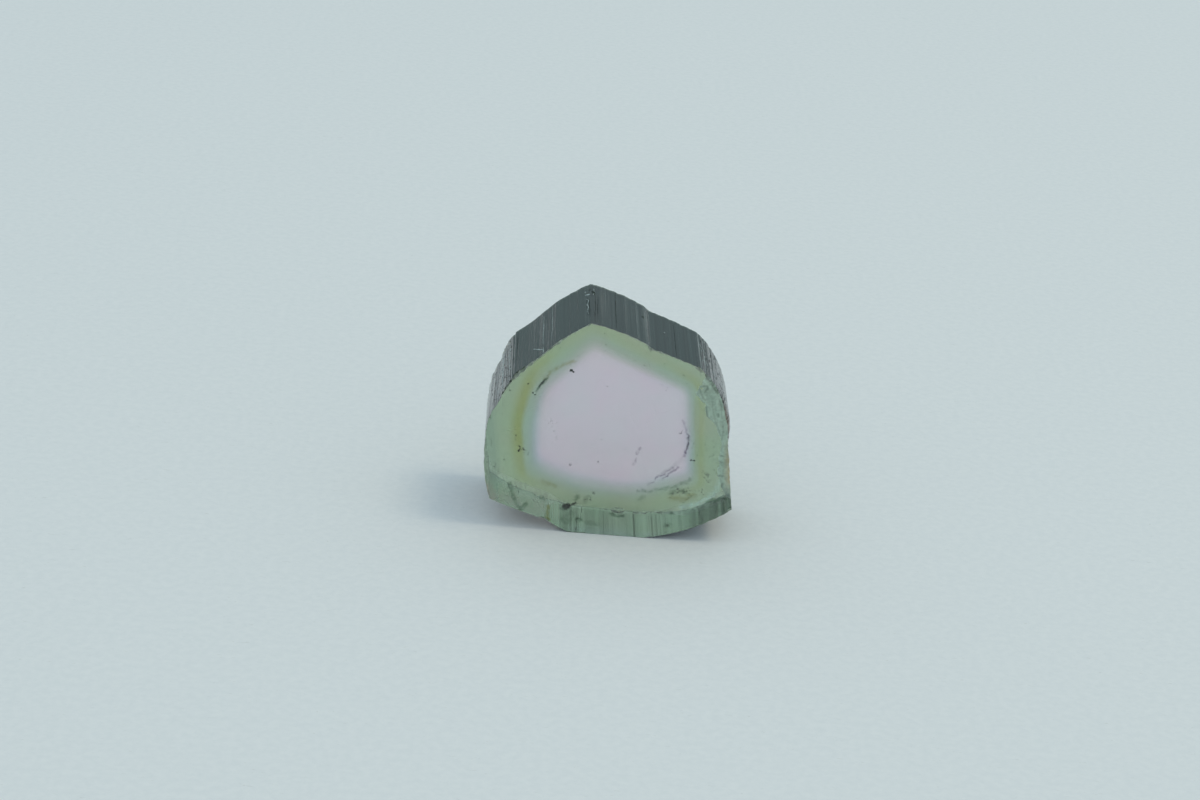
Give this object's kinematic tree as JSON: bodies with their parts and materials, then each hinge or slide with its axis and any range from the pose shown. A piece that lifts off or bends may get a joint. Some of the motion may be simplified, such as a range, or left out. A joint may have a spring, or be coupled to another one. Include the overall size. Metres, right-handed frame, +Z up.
{
  "type": "watermelon tourmaline slice",
  "caption": "Thick see-through slice of a watermelon tourmaline crystal with a pink heart and a green rim, standing on one wall facet.",
  "frame": {"origin": "under the middle of the slice, on the surface that it stands on", "axes": "+X to the right along the polished front face, +Y into the slice through its thickness, +Z up"},
  "size_m": [0.0188, 0.0092, 0.0168],
  "materials": {
    "tourmaline": "clear natural crystal, two polished sawn faces, striated natural prism walls, IOR 1.63"
  },
  "bodies": {
    "root": {"tourmaline_slice": "tourmaline"}
  },
  "joints": []
}
